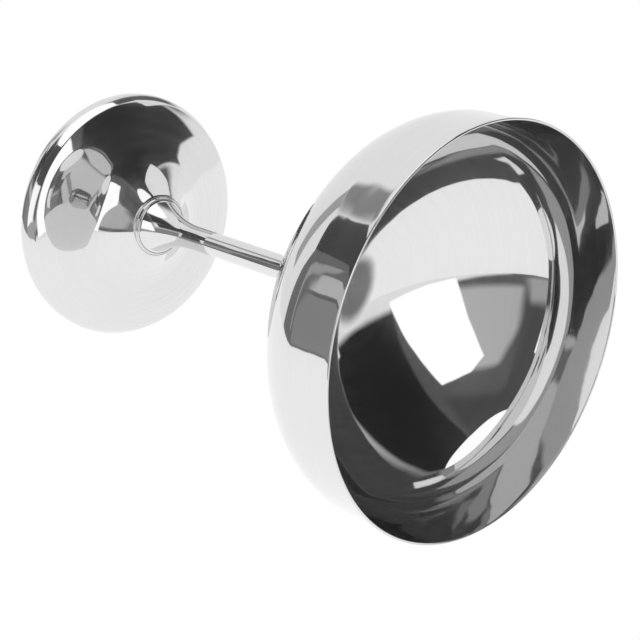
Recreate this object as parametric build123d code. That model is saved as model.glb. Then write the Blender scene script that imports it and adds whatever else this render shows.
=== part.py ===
from build123d import *
import os
from math import acos, degrees, radians, sin, sqrt

# A footed coupe for sparkling wine or desserts, spun and drawn from mirror-polished
# stainless sheet. It stands on its foot: +Z is the axis of revolution, from the foot to
# the rim, and the origin is the centre of the foot's base. Sizes are in millimetres.

# Whole object
OVERALL_HEIGHT = 133.4
RIM_RADIUS = 47.5

# Bowl: an upright wall, a shoulder and a dished bottom, all in one sheet
BOWL_SHEET = 0.6
WALL_HEIGHT = 11.0
SHOULDER_RADIUS = 19.0
DISH_RADIUS = 54.6
RIM_EDGE_RADIUS = 0.28

# Stem: a thin tube, slightly wider towards the foot, that opens into a trumpet
STEM_WALL = 0.7
STEM_TOP_RADIUS = 3.15
STEM_FOOT_RADIUS = 3.25
TRUMPET_CORNER_HEIGHT = 23.9
TRUMPET_BLEND = 34.0
TRUMPET_MOUTH_RADIUS = 7.1
LIP_RADIUS = 7.85
LIP_BLEND = 0.7
LIP_EDGE_RADIUS = 0.2

# Foot: a flat seat on a hollow-sided neck, a shallow brim and a rolled edge. Every round
# stretch has a radius and the slope, in degrees, that the surface has reached at its end.
FOOT_SHEET = 0.7
FOOT_RADIUS = 34.5
SEAT_HEIGHT = 15.2
SEAT_RADIUS = 8.3
FOOT_STRETCHES = [
    (0.8, 44.0),
    (75.0, 40.5),
    (18.1, 12.8),
    (190.0, 11.6),
    (105.0, 14.0),
    (31.0, 19.4),
    (17.0, 26.0),
    (1.0, 55.5),
    (60.0, 56.5),
]
FOOT_EDGE_RADIUS = 0.12

# Silver-solder fillets that hold the three spun pieces together
BOWL_FILLET_LEG = 1.1
FOOT_FILLET_LEG = 0.4

# How far a shape that is trimmed or cuts runs on past the cut
OVERRUN = 1.0
# How near its height and radius a corner has to be to be picked
PICKING_REACH = 0.1


def dish_centre_height():
    """Height of the centre of the sphere that the dished bottom belongs to."""
    reach = DISH_RADIUS - SHOULDER_RADIUS
    return OVERALL_HEIGHT - WALL_HEIGHT + sqrt(reach**2 - (RIM_RADIUS - SHOULDER_RADIUS) ** 2)


def underside_height(radius):
    """Height of the bowl's outer surface above a point near its lowest place."""
    return dish_centre_height() - sqrt(DISH_RADIUS**2 - radius**2)


def sheet_section(outline, thickness, side):
    """Give an open outline a sheet's thickness on one side, as a closed flat face."""
    return make_face(offset(outline, amount=thickness, side=side, closed=True))


def spun(section):
    """Turn a half-section about the vertical axis. It is drawn with y as the height."""
    return revolve(Plane.XZ * section, Axis.Z)


def dish_sphere():
    """The sphere that the underside of the dished bottom belongs to."""
    return Pos(0, 0, dish_centre_height()) * Sphere(DISH_RADIUS)


def corners_at(section, height, nearest_radius=PICKING_REACH):
    """The section's corners at one height, further out than a radius."""
    corners = [corner for corner in section.vertices() if corner.X > nearest_radius]
    return [corner for corner in corners if abs(corner.Y - height) < PICKING_REACH]


def make_bowl():
    """The bowl: its outer line runs from the rim to the lowest point on the axis."""
    reach = DISH_RADIUS - SHOULDER_RADIUS
    shoulder_turn = degrees(acos((RIM_RADIUS - SHOULDER_RADIUS) / reach))
    wall_foot = (RIM_RADIUS, OVERALL_HEIGHT - WALL_HEIGHT)
    wall = Line((RIM_RADIUS, OVERALL_HEIGHT), wall_foot)
    shoulder = JernArc(wall @ 1, wall % 1, SHOULDER_RADIUS, -shoulder_turn)
    dish = JernArc(shoulder @ 1, shoulder % 1, DISH_RADIUS, shoulder_turn - 90)
    section = sheet_section(Wire([wall, shoulder, dish]), BOWL_SHEET, Side.RIGHT)
    return spun(fillet(corners_at(section, OVERALL_HEIGHT), RIM_EDGE_RADIUS))


def stem_radius(height):
    """Outer radius of the stem's long cone at a height above the trumpet."""
    span = underside_height(0) - TRUMPET_CORNER_HEIGHT
    return STEM_FOOT_RADIUS + (STEM_TOP_RADIUS - STEM_FOOT_RADIUS) * (height - TRUMPET_CORNER_HEIGHT) / span


def make_stem():
    """The stem: a tube whose foot opens into a trumpet and ends in a flat lip.

    Its top is cut to the sphere of the bowl's underside, so that it seats all round.
    """
    lip_height = SEAT_HEIGHT + STEM_WALL
    above_seat = underside_height(0) + OVERRUN
    outline = FilletPolyline(
        (stem_radius(above_seat), above_seat),
        (STEM_FOOT_RADIUS, TRUMPET_CORNER_HEIGHT),
        (TRUMPET_MOUTH_RADIUS, lip_height),
        (LIP_RADIUS, lip_height),
        radius=[TRUMPET_BLEND, LIP_BLEND],
    )
    section = sheet_section(outline, STEM_WALL, Side.RIGHT)
    lip_corners = corners_at(section, lip_height, LIP_RADIUS - PICKING_REACH)
    tube = spun(fillet(lip_corners, LIP_EDGE_RADIUS))
    return tube - dish_sphere()


def make_foot():
    """The foot: its outer line runs from the axis over the neck and the brim to the table.

    The last bend ends upright at the foot's full radius, and a short wall goes down from it.
    """
    courses = [Line((0, SEAT_HEIGHT), (SEAT_RADIUS, SEAT_HEIGHT))]
    slope = 0
    for bend_radius, end_slope in FOOT_STRETCHES:
        last = courses[-1]
        courses.append(JernArc(last @ 1, last % 1, bend_radius, slope - end_slope))
        slope = end_slope
    last = courses[-1]
    roll_radius = (FOOT_RADIUS - (last @ 1).X) / (1 - sin(radians(slope)))
    roll = JernArc(last @ 1, last % 1, roll_radius, slope - 90)
    wall = Line(roll @ 1, (FOOT_RADIUS, 0))
    section = sheet_section(Wire([*courses, roll, wall]), FOOT_SHEET, Side.RIGHT)
    return spun(fillet(corners_at(section, 0), FOOT_EDGE_RADIUS))


def make_bowl_fillet():
    """Solder in the corner between the stem and the bowl's underside."""
    seat = underside_height(STEM_TOP_RADIUS)
    outer_radius = STEM_TOP_RADIUS + BOWL_FILLET_LEG
    block_top = seat + OVERRUN
    cone_top = block_top + OVERRUN
    block = Plane.XZ * make_face(
        Polyline(
            (0, seat - BOWL_FILLET_LEG),
            (stem_radius(seat - BOWL_FILLET_LEG), seat - BOWL_FILLET_LEG),
            (outer_radius, underside_height(outer_radius)),
            (outer_radius, block_top),
            (0, block_top),
            close=True,
        )
    )
    cone = Plane.XZ * make_face(
        Polyline(
            (0, 0),
            (stem_radius(0), 0),
            (stem_radius(cone_top), cone_top),
            (0, cone_top),
            close=True,
        )
    )
    return revolve(block, Axis.Z) - dish_sphere() - revolve(cone, Axis.Z)


def make_foot_fillet():
    """Solder in the corner between the stem's lip and the foot's seat."""
    section = make_face(
        Polyline(
            (LIP_RADIUS, SEAT_HEIGHT),
            (LIP_RADIUS + FOOT_FILLET_LEG, SEAT_HEIGHT),
            (LIP_RADIUS, SEAT_HEIGHT + FOOT_FILLET_LEG),
            close=True,
        )
    )
    return spun(section)


PIECES = {
    "bowl": make_bowl,
    "stem": make_stem,
    "foot": make_foot,
    "bowl_solder_fillet": make_bowl_fillet,
    "foot_solder_fillet": make_foot_fillet,
}

os.makedirs("parts", exist_ok=True)
for name, make in PIECES.items():
    piece = make()
    piece.label = name
    export_step(piece, f"parts/{name}.step")
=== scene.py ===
"""A mirror-polished metal coupe: a dished bowl on a trumpet-ended stem and a round foot.

Every piece is a figure of revolution about the vertical axis. Its half-section is drawn with a pen
that leaves bmesh edges behind it, and the section is then spun. Sizes are in metres.
"""

import logging
import math
from dataclasses import dataclass
from enum import Enum

import bmesh
import bpy
from mathutils import Matrix, Vector


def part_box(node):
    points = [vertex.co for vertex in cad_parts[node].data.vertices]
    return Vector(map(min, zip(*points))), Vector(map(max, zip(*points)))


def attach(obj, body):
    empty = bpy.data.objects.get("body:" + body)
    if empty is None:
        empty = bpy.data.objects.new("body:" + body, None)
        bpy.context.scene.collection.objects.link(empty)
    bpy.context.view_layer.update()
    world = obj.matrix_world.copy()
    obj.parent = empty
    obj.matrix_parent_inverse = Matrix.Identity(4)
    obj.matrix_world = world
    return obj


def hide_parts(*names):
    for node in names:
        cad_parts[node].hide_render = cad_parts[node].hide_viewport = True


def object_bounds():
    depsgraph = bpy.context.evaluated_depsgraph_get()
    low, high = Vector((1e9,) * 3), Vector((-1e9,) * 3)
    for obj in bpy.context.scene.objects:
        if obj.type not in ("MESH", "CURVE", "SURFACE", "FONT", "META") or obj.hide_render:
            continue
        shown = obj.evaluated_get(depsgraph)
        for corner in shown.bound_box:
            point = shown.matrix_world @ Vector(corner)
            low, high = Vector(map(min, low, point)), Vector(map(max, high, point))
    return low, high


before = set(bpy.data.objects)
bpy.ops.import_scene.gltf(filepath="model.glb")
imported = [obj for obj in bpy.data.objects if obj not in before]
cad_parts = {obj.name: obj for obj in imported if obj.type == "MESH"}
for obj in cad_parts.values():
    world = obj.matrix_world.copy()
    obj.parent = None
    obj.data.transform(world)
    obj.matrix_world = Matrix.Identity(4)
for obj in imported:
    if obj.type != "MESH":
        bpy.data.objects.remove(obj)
CAD_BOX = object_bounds()

LOG = logging.getLogger("coupe")
MM = 0.001
FULL_TURN = 2 * math.pi
QUARTER_TURN = math.pi / 2
WELD_DISTANCE = 0.001 * MM
RIM_CENTRE = Vector((0, 0, CAD_BOX[1][2]))
RIM_RADIUS = CAD_BOX[1][0]
OUTWARD = Vector((1, 0))
OUT_AND_UP = 1.0
OUT_AND_DOWN = -1.0
STEEL_TINT = (0.68, 0.68, 0.68)
SOLDER_TINT = (0.66, 0.66, 0.65)


class Winding(Enum):
    """Which way a pen turns along a bend."""

    LEFT = 1
    RIGHT = -1

    def opposite(self) -> "Winding":
        """The other way."""
        return Winding(-self.value)


@dataclass(frozen=True)
class Straight:
    """A straight course of a sheet's outline."""

    length: float


@dataclass(frozen=True)
class Bend:
    """A round course of a sheet's outline. The radius is the outline's own."""

    radius: float
    turn: float
    winding: Winding


Course = Straight | Bend


def rounded_courses(corners: list[Vector], radii: list[float]) -> list[Course]:
    """Turn a cornered line into straight courses joined by tangent bends.

    Args:
        corners: The line's points, radius and height, from its start to its end.
        radii: The bend radius at each inner corner.

    Returns:
        The courses in order. The first one leaves the first corner straight.
    """
    legs = [after - before for before, after in zip(corners, corners[1:])]
    turns = [before.angle_signed(after) for before, after in zip(legs, legs[1:])]
    cuts = [radius * math.tan(abs(turn) / 2) for radius, turn in zip(radii, turns)]
    courses: list[Course] = []
    for index, leg in enumerate(legs):
        start_cut = cuts[index - 1] if index else 0.0
        end_cut = cuts[index] if index < len(cuts) else 0.0
        courses.append(Straight(leg.length - start_cut - end_cut))
        if index < len(turns):
            winding = Winding.RIGHT if turns[index] > 0 else Winding.LEFT
            courses.append(Bend(radii[index], abs(turns[index]), winding))
    return courses


class SectionPen:
    """Draws a half-section as bmesh edges in the plane of radius and height."""

    def __init__(self, start: Vector, heading: Vector, step: float, turn_step: float) -> None:
        """Put the pen down.

        Args:
            start: Radius and height of the first point.
            heading: The direction that the pen sets off in.
            step: The longest edge to leave, in metres.
            turn_step: The largest turn from one edge to the next, in radians.
        """
        self.mesh = bmesh.new()
        self.tip = self.mesh.verts.new((start.x, 0, start.y))
        self.heading = heading.normalized()
        self.step = step
        self.turn_step = turn_step

    def left(self) -> Vector:
        """The direction square to the heading, on the pen's left."""
        return Vector((-self.heading.y, self.heading.x))

    def straight(self, length: float) -> None:
        """Draw a straight line.

        Args:
            length: How long the line is.
        """
        count = max(1, math.ceil(length / self.step))
        for _ in range(count):
            grown = bmesh.ops.extrude_vert_indiv(self.mesh, verts=[self.tip])
            self.tip = grown["verts"][0]
            shift = self.heading * (length / count)
            bmesh.ops.translate(self.mesh, verts=[self.tip], vec=(shift.x, 0, shift.y))

    def corner(self, turn: float, winding: Winding) -> None:
        """Turn on the spot, which leaves a sharp corner."""
        self.heading.rotate(Matrix.Rotation(turn * winding.value, 2))

    def bend(self, radius: float, turn: float, winding: Winding) -> None:
        """Draw an arc that starts along the heading.

        Args:
            radius: The arc's radius.
            turn: How far the heading turns, in radians.
            winding: The side that the heading turns to.
        """
        count = max(2, math.ceil(turn / self.turn_step), math.ceil(turn * radius / self.step))
        to_centre = self.left() * radius * winding.value
        centre = self.tip.co + Vector((to_centre.x, 0, to_centre.y))
        spun = bmesh.ops.spin(
            self.mesh,
            geom=[self.tip],
            cent=centre,
            axis=(0, -winding.value, 0),
            angle=turn,
            steps=count,
        )
        self.tip = next(part for part in spun["geom_last"] if isinstance(part, bmesh.types.BMVert))
        self.corner(turn, winding)

    def follow(self, courses: list[Course], offset: float = 0.0) -> None:
        """Draw courses, moved sideways by the same distance all along.

        Args:
            courses: The courses of the outline.
            offset: How far to the right of the outline the pen runs.
        """
        for course in courses:
            if isinstance(course, Straight):
                self.straight(course.length)
            else:
                self.bend(course.radius + offset * course.winding.value, course.turn, course.winding)

    def lip(self, thickness: float, edge_radius: float, winding: Winding, turn_step: float) -> None:
        """Draw a sheet's edge, with both its corners rounded, and turn back along the sheet.

        Args:
            thickness: The sheet's thickness.
            edge_radius: The radius of each rounded corner.
            winding: The side that the edge turns back to.
            turn_step: The largest turn from one edge of a corner to the next, in radians.
        """
        usual_step = self.turn_step
        self.turn_step = turn_step
        self.bend(edge_radius, QUARTER_TURN, winding)
        self.straight(thickness - 2 * edge_radius)
        self.bend(edge_radius, QUARTER_TURN, winding)
        self.turn_step = usual_step


def reversed_courses(courses: list[Course]) -> list[Course]:
    """Walk the same courses from their end to their start.

    Args:
        courses: The courses of an outline.

    Returns:
        The courses in the other order, with every bend wound the other way.
    """
    return [
        Bend(course.radius, course.turn, course.winding.opposite()) if isinstance(course, Bend) else course
        for course in reversed(courses)
    ]


def spun_piece(name: str, pen: SectionPen, segments: int) -> bpy.types.Object:
    """Spin a finished half-section about the vertical axis.

    Args:
        name: The new object's name.
        pen: The pen that drew the section.
        segments: How many steps the full turn takes.

    Returns:
        The object, smooth shaded, with its place in its mesh.
    """
    mesh = pen.mesh
    section = list(mesh.verts) + list(mesh.edges)
    bmesh.ops.spin(
        mesh, geom=section, cent=(0, 0, 0), axis=(0, 0, 1), angle=FULL_TURN, steps=segments, use_merge=True
    )
    bmesh.ops.remove_doubles(mesh, verts=list(mesh.verts), dist=WELD_DISTANCE)
    bmesh.ops.dissolve_degenerate(mesh, edges=list(mesh.edges), dist=WELD_DISTANCE)
    bmesh.ops.recalc_face_normals(mesh, faces=list(mesh.faces))
    data = bpy.data.meshes.new(name)
    mesh.to_mesh(data)
    mesh.free()
    data.shade_smooth()
    piece = bpy.data.objects.new(name, data)
    bpy.context.scene.collection.objects.link(piece)
    return piece


class Signal:
    """A node's output that Python's arithmetic adds Math nodes to."""

    def __init__(self, bench: "ShaderBench", socket: bpy.types.NodeSocket) -> None:
        """Wrap a socket of the bench's node tree."""
        self.bench = bench
        self.socket = socket

    def _math(self, operation: str, *values: "Signal | float") -> "Signal":
        """Add one Math node and wrap its output."""
        node = self.bench.node("ShaderNodeMath", {"operation": operation}, dict(enumerate(values)))
        return Signal(self.bench, node.outputs[0])

    def __add__(self, other: "Signal | float") -> "Signal":
        """The sum."""
        return self._math("ADD", self, other)

    def __radd__(self, other: float) -> "Signal":
        """The sum, with a number first."""
        return self._math("ADD", other, self)

    def __sub__(self, other: "Signal | float") -> "Signal":
        """The difference."""
        return self._math("SUBTRACT", self, other)

    def __rsub__(self, other: float) -> "Signal":
        """The difference, with a number first."""
        return self._math("SUBTRACT", other, self)

    def __mul__(self, other: "Signal | float") -> "Signal":
        """The product."""
        return self._math("MULTIPLY", self, other)

    def __rmul__(self, other: float) -> "Signal":
        """The product, with a number first."""
        return self._math("MULTIPLY", other, self)

    def __truediv__(self, other: "Signal | float") -> "Signal":
        """The quotient."""
        return self._math("DIVIDE", self, other)

    def __pow__(self, other: float) -> "Signal":
        """The power."""
        return self._math("POWER", self, other)

    def at_least(self, floor: float) -> "Signal":
        """The larger of this and a number."""
        return self._math("MAXIMUM", self, floor)

    def ramp(self, low: float, high: float) -> "Signal":
        """Make a smooth step.

        Args:
            low: Where the step is still 0.
            high: Where the step has reached 1.

        Returns:
            The step, from 0 to 1.
        """
        node = self.bench.node(
            "ShaderNodeMapRange",
            {"interpolation_type": "SMOOTHSTEP"},
            {"Value": self, "From Min": low, "From Max": high},
        )
        return Signal(self.bench, node.outputs["Result"])


class ShaderBench:
    """Adds nodes to one node tree."""

    def __init__(self, tree: bpy.types.NodeTree) -> None:
        """Clear the tree and start on it."""
        self.tree = tree
        tree.nodes.clear()

    def node(
        self, kind: str, settings: dict[str, object], inputs: dict[str | int, object]
    ) -> bpy.types.Node:
        """Add one node.

        Args:
            kind: The node's type.
            settings: Its attributes, which are set first.
            inputs: The value or link of each input socket, by name or place.

        Returns:
            The node.
        """
        made = self.tree.nodes.new(kind)
        for key, value in settings.items():
            setattr(made, key, value)
        for key, value in inputs.items():
            source = value.socket if isinstance(value, Signal) else value
            if isinstance(source, bpy.types.NodeSocket):
                self.tree.links.new(source, made.inputs[key])
            else:
                made.inputs[key].default_value = source
        return made

    def signal(
        self, kind: str, settings: dict[str, object], inputs: dict[str | int, object], output: str | int = 0
    ) -> Signal:
        """Add one node and wrap one of its outputs.

        Args:
            kind: The node's type.
            settings: Its attributes, which are set first.
            inputs: The value or link of each input socket, by name or place.
            output: The output's name or place.

        Returns:
            The output.
        """
        return Signal(self, self.node(kind, settings, inputs).outputs[output])

    def dot(self, vector: Signal, fixed: Vector) -> Signal:
        """Find how far a vector reaches along a fixed direction.

        Args:
            vector: The vector that changes.
            fixed: The direction.

        Returns:
            The dot product of the two.
        """
        return self.signal(
            "ShaderNodeVectorMath", {"operation": "DOT_PRODUCT"}, {0: vector, 1: tuple(fixed)}, "Value"
        )

    def vector(self, x: Signal | float, y: Signal | float, z: Signal | float) -> Signal:
        """A vector from three numbers."""
        return self.signal("ShaderNodeCombineXYZ", {}, {"X": x, "Y": y, "Z": z})

    def noise(self, place: Signal, detail: float, roughness: float) -> Signal:
        """Make smooth noise about one half.

        Args:
            place: Where the noise is read. It changes over a length of about one.
            detail: How many finer layers are added.
            roughness: How strong each finer layer is beside the one before.

        Returns:
            The noise.
        """
        inputs = {"Vector": place, "Scale": 1.0, "Detail": detail, "Roughness": roughness}
        return self.signal("ShaderNodeTexNoise", {"noise_dimensions": "3D"}, inputs, "Fac")


@dataclass(frozen=True)
class Grain:
    """Marks that run round the axis: how fast they change round it and along the section."""

    around: float
    along: float
    detail: float
    roughness: float = 0.5


@dataclass(frozen=True)
class PolishedMetal:
    """Metal that was polished on a spindle, so its marks run round the axis.

    The rise is 1 where a piece's section runs outwards and up, and -1 where it runs outwards and
    down. The waves start at a radius and reach their full height over a width beyond it.
    """

    name: str
    tint: tuple[float, float, float]
    rise: float
    mirror_roughness: float = 0.035
    haze_roughness: float = 0.32
    haze_spread: float = 0.85
    haze_turn: float = 0.25
    haze: float = 0.16
    fine: Grain = Grain(2.0, 2600.0, 3.0, 0.6)
    broad: Grain = Grain(1.3, 420.0, 4.0, 0.6)
    ripple: Grain = Grain(2.2, 95.0, 1.0)
    wave: Grain = Grain(2.4, 110.0, 1.0)
    fine_share: float = 0.7
    broad_share: float = 0.9
    clear_share: float = 0.3
    least_haze: float = 0.05
    axis_radius: float = 0.5 * MM
    ripple_height: float = 0.030 * MM
    groove_height: float = 0.0004 * MM
    wave_height: float = 0.0
    wave_radius: float = 40.0 * MM
    wave_width: float = 6.0 * MM

    def make(self) -> bpy.types.Material:
        """Build the material's nodes.

        Returns:
            The material: a clear mirror with some haze over it.
        """
        material = bpy.data.materials.new(self.name)
        material.use_nodes = True
        bench = ShaderBench(material.node_tree)
        place = bench.signal("ShaderNodeTexCoord", {}, {}, "Object")
        parts = bench.node("ShaderNodeSeparateXYZ", {}, {0: place})
        x, y, z = (Signal(bench, socket) for socket in parts.outputs)
        radius = ((x * x + y * y) ** 0.5).at_least(self.axis_radius)
        run = radius + z * self.rise
        side, front = x / radius, y / radius

        def marks(grain: Grain) -> Signal:
            """Noise drawn out round the axis."""
            where = bench.vector(side * grain.around, front * grain.around, run * grain.along)
            return bench.noise(where, grain.detail, grain.roughness)

        fine = marks(self.fine)
        streaks = fine * self.fine_share + marks(self.broad) * self.broad_share - self.clear_share
        haze = streaks.at_least(self.least_haze) * self.haze
        waviness = radius.ramp(self.wave_radius, self.wave_radius + self.wave_width) * self.wave_height
        height = marks(self.ripple) * self.ripple_height + fine * self.groove_height
        height = height + marks(self.wave) * waviness
        normal = bench.signal("ShaderNodeBump", {}, {"Height": height, "Distance": 1.0, "Strength": 1.0})
        mirror = {
            "Base Color": (*self.tint, 1.0),
            "Metallic": 1.0,
            "Normal": normal,
            "Roughness": self.mirror_roughness,
        }
        brushed = mirror | {
            "Roughness": self.haze_roughness,
            "Anisotropic": self.haze_spread,
            "Anisotropic Rotation": self.haze_turn,
        }
        clear = bench.node("ShaderNodeBsdfPrincipled", {}, mirror)
        glow = bench.node("ShaderNodeBsdfPrincipled", {}, brushed)
        blend = bench.node("ShaderNodeMixShader", {}, {0: haze, 1: clear.outputs[0], 2: glow.outputs[0]})
        bench.node("ShaderNodeOutputMaterial", {}, {"Surface": blend.outputs[0]})
        return material


@dataclass
class Bowl:
    """The bowl: an upright wall, a shoulder and a dished bottom, in one sheet."""

    rim_radius: float
    rim_height: float
    sheet: float = 0.6 * MM
    wall_height: float = 11.0 * MM
    shoulder_radius: float = 19.0 * MM
    dish_radius: float = 54.6 * MM
    edge_radius: float = 0.28 * MM
    step: float = 1.1 * MM
    turn_step: float = math.radians(1.5)
    edge_turn_step: float = math.radians(15)
    segments: int = 320

    def shoulder_turn(self) -> float:
        """How far the shoulder turns before the dish takes over."""
        inset = self.rim_radius - self.shoulder_radius
        return math.acos(inset / (self.dish_radius - self.shoulder_radius))

    def dish_centre_height(self) -> float:
        """Height of the centre of the sphere that the dish belongs to."""
        reach = self.dish_radius - self.shoulder_radius
        inset = self.rim_radius - self.shoulder_radius
        return self.rim_height - self.wall_height + math.sqrt(reach**2 - inset**2)

    def underside_height(self, radius: float) -> float:
        """Height of the outer surface above a point near the axis."""
        return self.dish_centre_height() - math.sqrt(self.dish_radius**2 - radius**2)

    def build(self) -> bpy.types.Object:
        """Model the bowl, from its lowest point up the outside and back down the inside."""
        turn = self.shoulder_turn()
        courses = [
            Bend(self.dish_radius, QUARTER_TURN - turn, Winding.LEFT),
            Bend(self.shoulder_radius, turn, Winding.LEFT),
            Straight(self.wall_height - self.edge_radius),
        ]
        start = Vector((0.0, self.underside_height(0)))
        pen = SectionPen(start, OUTWARD, self.step, self.turn_step)
        pen.follow(courses)
        pen.lip(self.sheet, self.edge_radius, Winding.LEFT, self.edge_turn_step)
        pen.follow(reversed_courses(courses), self.sheet)
        return spun_piece("bowl_shell", pen, self.segments)


@dataclass
class Foot:
    """The foot: a flat seat for the stem on a hollow-sided neck, a shallow brim and a rolled edge.

    Each round stretch of its outline is given by its radius and by the slope where it ends.
    """

    radius: float
    sheet: float = 0.7 * MM
    seat_height: float = 15.2 * MM
    seat_radius: float = 8.3 * MM
    stretches: tuple[tuple[float, float], ...] = (
        (0.8 * MM, 44.0),
        (75.0 * MM, 40.5),
        (18.1 * MM, 12.8),
        (190.0 * MM, 11.6),
        (105.0 * MM, 14.0),
        (31.0 * MM, 19.4),
        (17.0 * MM, 26.0),
        (1.0 * MM, 55.5),
        (60.0 * MM, 56.5),
    )
    edge_radius: float = 0.12 * MM
    step: float = 0.8 * MM
    turn_step: float = math.radians(2)
    edge_turn_step: float = math.radians(20)
    segments: int = 320

    def courses(self) -> list[Course]:
        """The outline's courses, from the axis out over the top and down to the table."""
        courses: list[Course] = [Straight(self.seat_radius)]
        place = Vector((self.seat_radius, self.seat_height))
        slope = 0.0
        for radius, end_degrees in self.stretches:
            end = math.radians(end_degrees)
            winding = Winding.RIGHT if end > slope else Winding.LEFT
            courses.append(Bend(radius, abs(end - slope), winding))
            reach = -radius * winding.value
            place += reach * Vector((math.sin(end) - math.sin(slope), math.cos(end) - math.cos(slope)))
            slope = end
        roll = (self.radius - place.x) / (1 - math.sin(slope))
        wall = place.y - roll * math.cos(slope)
        LOG.info("foot: roll %.2f mm, wall %.2f mm", roll / MM, wall / MM)
        courses.append(Bend(roll, QUARTER_TURN - slope, Winding.RIGHT))
        courses.append(Straight(wall - self.edge_radius))
        return courses

    def build(self) -> bpy.types.Object:
        """Model the foot, from the axis out over the top and back underneath."""
        courses = self.courses()
        pen = SectionPen(Vector((0.0, self.seat_height)), OUTWARD, self.step, self.turn_step)
        pen.follow(courses)
        pen.lip(self.sheet, self.edge_radius, Winding.RIGHT, self.edge_turn_step)
        pen.follow(reversed_courses(courses), -self.sheet)
        return spun_piece("foot_shell", pen, self.segments)


@dataclass
class Stem:
    """The stem: a thin tube whose lower end opens into a trumpet with a flat lip."""

    top_height: float
    seat_height: float
    wall: float = 0.7 * MM
    top_radius: float = 3.15 * MM
    foot_radius: float = 3.25 * MM
    trumpet_corner_height: float = 23.9 * MM
    trumpet_blend: float = 34.0 * MM
    trumpet_mouth_radius: float = 7.1 * MM
    lip_radius: float = 7.85 * MM
    lip_blend: float = 0.7 * MM
    lip_edge_radius: float = 0.2 * MM
    step: float = 1.5 * MM
    turn_step: float = math.radians(1.5)
    segments: int = 160

    def build(self) -> bpy.types.Object:
        """Model the stem, from its top down the outside and back up the bore."""
        lip_height = self.seat_height + self.wall
        corners = [
            Vector((self.top_radius, self.top_height)),
            Vector((self.foot_radius, self.trumpet_corner_height)),
            Vector((self.trumpet_mouth_radius, lip_height)),
            Vector((self.lip_radius - self.lip_edge_radius, lip_height)),
        ]
        courses = rounded_courses(corners, [self.trumpet_blend, self.lip_blend])
        pen = SectionPen(corners[0], corners[1] - corners[0], self.step, self.turn_step)
        pen.follow(courses)
        pen.bend(self.lip_edge_radius, QUARTER_TURN, Winding.RIGHT)
        pen.straight(self.wall - self.lip_edge_radius)
        pen.corner(QUARTER_TURN, Winding.RIGHT)
        pen.straight(self.lip_edge_radius)
        pen.follow(reversed_courses(courses), -self.wall)
        return spun_piece("stem_tube", pen, self.segments)


@dataclass
class SolderRing:
    """A ring of solder in the corner between the stem's outside and a flat face.

    Its free side is hollow, and its hidden sides are sunk a little into the metal beside them.
    """

    name: str
    stem_radius: float
    face_height: float
    leg: float
    face_is_above: bool
    sunk: float = 0.1 * MM
    step: float = 0.2 * MM
    turn_step: float = math.radians(8)
    segments: int = 160

    def build(self) -> bpy.types.Object:
        """Model the ring, from its hidden corner along the face and back round its hollow side."""
        inward = Winding.RIGHT if self.face_is_above else Winding.LEFT
        into_face = self.sunk if self.face_is_above else -self.sunk
        start = Vector((self.stem_radius - self.sunk, self.face_height + into_face))
        pen = SectionPen(start, OUTWARD, self.step, self.turn_step)
        pen.straight(self.leg + self.sunk)
        pen.corner(QUARTER_TURN, inward)
        pen.straight(self.sunk)
        pen.corner(QUARTER_TURN, inward)
        pen.bend(self.leg, QUARTER_TURN, inward.opposite())
        pen.corner(QUARTER_TURN, inward)
        pen.straight(self.sunk)
        pen.corner(QUARTER_TURN, inward)
        pen.straight(self.leg + self.sunk)
        return spun_piece(self.name, pen, self.segments)


def staged_object(name: str, mesh: bmesh.types.BMesh) -> bpy.types.Object:
    """Turn a mesh into a piece of the studio, seen in reflections and not by the camera.

    Args:
        name: The new object's name.
        mesh: Its mesh, which is freed.

    Returns:
        The object.
    """
    data = bpy.data.meshes.new(name)
    mesh.to_mesh(data)
    mesh.free()
    piece = bpy.data.objects.new(name, data)
    bpy.context.scene.collection.objects.link(piece)
    piece.visible_camera = False
    piece.visible_diffuse = False
    piece.visible_shadow = False
    return piece


def glowing(name: str, level: float) -> bpy.types.Material:
    """Make a plain material that gives off white light evenly.

    Args:
        name: The material's name.
        level: How bright it is. 1 is white.

    Returns:
        The material.
    """
    material = bpy.data.materials.new(name)
    material.use_nodes = True
    bench = ShaderBench(material.node_tree)
    glow = bench.node("ShaderNodeEmission", {}, {"Color": (1, 1, 1, 1), "Strength": level})
    bench.node("ShaderNodeOutputMaterial", {}, {"Surface": glow.outputs[0]})
    return material


@dataclass(frozen=True)
class Card:
    """A flat card, lamp or opening in the studio, seen in the mirror surfaces.

    Its corners are compass bearings and heights in degrees, in order round it, clockwise on a chart
    whose bearings grow to the right.
    """

    corners: tuple[tuple[float, float], ...]
    level: float
    softness: float = 0.02


@dataclass(frozen=True)
class Spot:
    """A round patch in the studio: a bearing, a height and a radius in degrees."""

    centre: tuple[float, float]
    radius: float
    level: float
    softness: float = 0.02


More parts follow.
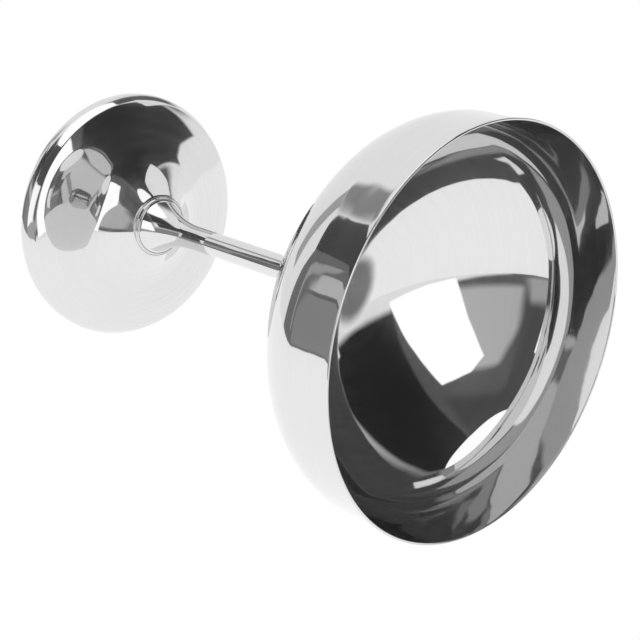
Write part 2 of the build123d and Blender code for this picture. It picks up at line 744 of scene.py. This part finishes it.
class Studio:
    """A white table under a large lamp, with cards round it, as the mirror surfaces see them.

    The coupe was lit while it lay on its side, so the table is not square to its axis. Each layer
    covers the ones before it. The layers lie too far off for their place to matter. The lamp and
    the board are near enough for the bowl and the foot to see them in different directions, so they
    are real objects, whose sizes and places are in metres.
    """

    up = Vector((-0.850, -0.519, 0.098)).normalized()
    right_hint = Vector((-0.3233, 0.6571, 0.6810))
    brightness = 1.37
    backdrop = 0.75
    layers: tuple[Card | Spot, ...] = (
        # Dark surroundings, behind the table
        Card(((10, 80), (75, 80), (75, 12), (10, 12)), 0.07, 0.10),
        Card(((66, 68), (140, 64), (126, -1), (80, -3)), 0.014, 0.035),
        Card(((134, 72), (215, 72), (215, -9), (122, -2)), 0.085, 0.02),
        Card(((134, 72), (215, 72), (215, 40), (134, 44)), 0.05, 0.06),
        Card(((180, 66), (240, 66), (240, -9), (188, -9)), 0.06, 0.05),
        # Pale walls beside the softboxes, and the table's far edge
        Card(((150, 36), (176, 36), (187, 18), (188, -3), (152, -3)), 0.42, 0.04),
        Card(((192, 5), (240, 5), (240, -12), (188, -12)), 0.34, 0.06),
        Card(((181, -7), (215, -8), (215, -15), (181, -13)), 0.09, 0.025),
        Card(((30, 1.5), (88, 1), (88, -12), (30, -12)), 0.78, 0.010),
        Card(((238, 62), (280, 62), (280, 36), (238, 36)), 0.045, 0.06),
        # Two softboxes
        Card(((137, 39), (158, 37.5), (167, 31), (155, -8), (121, -5)), 1.15, 0.008),
        Card(((215, 31), (238, 32), (240, -3), (217, 4)), 1.1, 0.012),
        # Dark equipment on the near side, with its paler parts
        Card(((296, 43), (318, 43), (314, 38), (297, 37.5)), 0.20, 0.03),
        Card(((301, 38), (313, 38), (311, 4), (303, 4)), 0.33, 0.012),
        Card(((246, 37), (297, 37), (284, 22), (246, 20)), 0.045, 0.006),
        Card(((246, 24), (285.5, 26), (289, 13), (289, -8), (246, -10)), 0.13, 0.006),
        Card(((246, -6), (284, -6), (268, -14), (246, -14)), 0.12, 0.008),
        Card(((240, 14), (275, 12), (272, -8), (240, -8)), 0.21, 0.010),
        Card(((240, 20.5), (278, 20), (275.5, 13.5), (240, 14)), 0.44, 0.005),
        Card(((240, 13.5), (275, 13), (274.5, 12), (240, 12.5)), 0.10, 0.004),
        Card(((279, 24), (280.5, 23), (276, -4), (274.5, -4)), 0.30, 0.004),
        # The round table, and a dark disc with a pale edge on it
        Spot((0, -90), 81, 0.86, 0.006),
        Spot((100, -17), 12.5, 0.95, 0.01),
        Spot((100, -17), 11, 0.17, 0.01),
    )
    lamp_height = 0.85
    lamp_radius = 0.444
    lamp_centre = (-0.009, 0.046)
    lamp_level = 1.1
    lamp_segments = 96
    board_near = (0.0076, 0.218)
    board_far = (0.26, 0.15)
    board_near_foot = 0.118
    board_far_foot = 0.060
    board_top = 0.33
    board_level = 0.77
    floor_radius = 3.0
    floor_segments = 128

    def __init__(self) -> None:
        """Square the studio's axes up."""
        self.right = (self.right_hint - self.right_hint.dot(self.up) * self.up).normalized()
        self.forward = self.up.cross(self.right)

    def direction(self, bearing: float, height: float) -> Vector:
        """Find a direction.

        Args:
            bearing: Its compass bearing in degrees.
            height: Its height above the table in degrees.

        Returns:
            The direction in the coupe's own axes.
        """
        a, e = math.radians(bearing), math.radians(height)
        level_part = math.cos(a) * self.forward + math.sin(a) * self.right
        return math.cos(e) * level_part + math.sin(e) * self.up

    def mask(self, bench: ShaderBench, way: Signal, layer: Card | Spot) -> Signal:
        """Find where a card or spot is seen.

        Args:
            bench: The world's nodes.
            way: The direction that is looked in.
            layer: The card or spot.

        Returns:
            How much of the layer is seen, from 0 to 1.
        """
        if isinstance(layer, Spot):
            edge = math.cos(math.radians(layer.radius))
            nearness = bench.dot(way, self.direction(*layer.centre))
            return nearness.ramp(edge - layer.softness, edge + layer.softness)
        corners = [self.direction(*corner) for corner in layer.corners]
        inside: Signal | float = 1.0
        for first, second in zip(corners, corners[1:] + corners[:1]):
            square = first.cross(second).normalized()
            inside = inside * bench.dot(way, square).ramp(-layer.softness, layer.softness)
        return inside

    def light(self) -> None:
        """Build the world from the studio's layers."""
        world = bpy.data.worlds.new("studio")
        bpy.context.scene.world = world
        world.use_nodes = True
        bench = ShaderBench(world.node_tree)
        way = bench.signal("ShaderNodeTexCoord", {}, {}, "Generated")
        glow: Signal | float = self.backdrop
        for layer in self.layers:
            glow = glow + self.mask(bench, way, layer) * (layer.level - glow)
        seen = bench.node("ShaderNodeLightPath", {}, {}).outputs["Is Camera Ray"]
        grey = bench.vector(glow, glow, glow)
        room = bench.node("ShaderNodeBackground", {}, {"Color": grey, "Strength": self.brightness})
        white = bench.node("ShaderNodeBackground", {}, {"Color": (1, 1, 1, 1), "Strength": 1.0})
        chosen = bench.node("ShaderNodeMixShader", {}, {0: seen, 1: room.outputs[0], 2: white.outputs[0]})
        bench.node("ShaderNodeOutputWorld", {}, {"Surface": chosen.outputs[0]})

    def place(self, ahead: float, aside: float, height: float) -> Vector:
        """Find a point in the studio, measured from the centre of the foot, in metres."""
        return ahead * self.forward + aside * self.right + height * self.up

    def hang_lamp(self) -> None:
        """Hang a large round lamp overhead, which only the mirror surfaces show."""
        mesh = bmesh.new()
        bmesh.ops.create_circle(mesh, cap_ends=True, segments=self.lamp_segments, radius=self.lamp_radius)
        lamp = staged_object("lamp", mesh)
        lamp.rotation_euler = self.up.to_track_quat("Z", "Y").to_euler()
        lamp.location = self.place(*self.lamp_centre, self.lamp_height)
        lamp.data.materials.append(glowing("lamp_glow", self.lamp_level * self.brightness))

    def stand_board(self) -> None:
        """Stand a pale board close to the foot, to one side."""
        corners = [
            self.place(*self.board_near, self.board_near_foot),
            self.place(*self.board_near, self.board_top),
            self.place(*self.board_far, self.board_top),
            self.place(*self.board_far, self.board_far_foot),
        ]
        mesh = bmesh.new()
        mesh.faces.new([mesh.verts.new(corner) for corner in corners])
        board = staged_object("board", mesh)
        board.data.materials.append(glowing("board_glow", self.board_level * self.brightness))

    def lay_floor(self) -> None:
        """Lay a plain white floor that the mirror surfaces don't show."""
        mesh = bmesh.new()
        bmesh.ops.create_circle(mesh, cap_ends=True, segments=self.floor_segments, radius=self.floor_radius)
        floor = staged_object("floor", mesh)
        floor.data.materials.append(glowing("floor_white", 1.0))
        floor.visible_camera = True
        floor.visible_glossy = False


@dataclass
class ViewPoint:
    """The camera: it looks down into the bowl from one side, tilted over with the lying coupe.

    Its distances are measured from the rim's centre, in rim radii.
    """

    distance_back: float = 4.888
    distance_up: float = 3.601
    forward: Vector = Vector((0.0280, 0.7259, -0.6872))
    down: Vector = Vector((0.9459, 0.2031, 0.2531))
    lens: float = 74.64
    sensor_width: float = 36.0
    clip_start: float = 0.01

    def place(self) -> None:
        """Create the camera and make it the scene's."""
        data = bpy.data.cameras.new("view")
        data.lens = self.lens
        data.sensor_width = self.sensor_width
        data.clip_start = self.clip_start
        camera = bpy.data.objects.new("view", data)
        bpy.context.scene.collection.objects.link(camera)
        back = -self.forward.normalized()
        up = (-self.down - (-self.down).dot(back) * back).normalized()
        right = up.cross(back)
        eye = RIM_CENTRE + RIM_RADIUS * Vector((0, -self.distance_back, self.distance_up))
        camera.matrix_world = Matrix.Translation(eye) @ Matrix((right, up, back)).transposed().to_4x4()
        bpy.context.scene.camera = camera


def fit(piece: bpy.types.Object, node: str, material: bpy.types.Material) -> None:
    """Give a piece its finish and let it stand for its CAD node.

    Args:
        piece: The piece.
        node: The CAD node that it replaces.
        material: Its finish.
    """
    piece.data.materials.append(material)
    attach(piece, "root")
    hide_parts(node)
    LOG.info("%s: %d faces", piece.name, len(piece.data.polygons))


def main() -> None:
    """Build the coupe, its studio and its camera."""
    logging.basicConfig(level=logging.INFO, format="%(message)s")
    bowl = Bowl(rim_radius=RIM_RADIUS, rim_height=RIM_CENTRE.z)
    foot = Foot(radius=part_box("foot")[1].x)
    stem = Stem(top_height=bowl.underside_height(Stem.top_radius), seat_height=foot.seat_height)
    top_ring = SolderRing("bowl_solder", stem.top_radius, stem.top_height, 1.1 * MM, face_is_above=True)
    low_ring = SolderRing("foot_solder", stem.lip_radius, foot.seat_height, 0.4 * MM, face_is_above=False)
    bowl_metal = PolishedMetal("bowl_steel_polish", STEEL_TINT, OUT_AND_UP, wave_height=0.10 * MM)
    stem_metal = PolishedMetal("stem_steel_polish", STEEL_TINT, OUT_AND_DOWN)
    foot_metal = PolishedMetal("foot_steel_polish", STEEL_TINT, OUT_AND_DOWN, haze=0.30)
    solder_finish = PolishedMetal(
        "solder_polish", SOLDER_TINT, OUT_AND_UP, haze=0.4, ripple_height=0.06 * MM
    )
    fit(bowl.build(), "bowl", bowl_metal.make())
    fit(stem.build(), "stem", stem_metal.make())
    fit(foot.build(), "foot", foot_metal.make())
    solder_metal = solder_finish.make()
    fit(top_ring.build(), "bowl_solder_fillet", solder_metal)
    fit(low_ring.build(), "foot_solder_fillet", solder_metal)
    studio = Studio()
    studio.light()
    studio.hang_lamp()
    studio.stand_board()
    studio.lay_floor()
    ViewPoint().place()
    bpy.context.scene.view_settings.view_transform = "Standard"


if __name__ == "__main__":
    main()
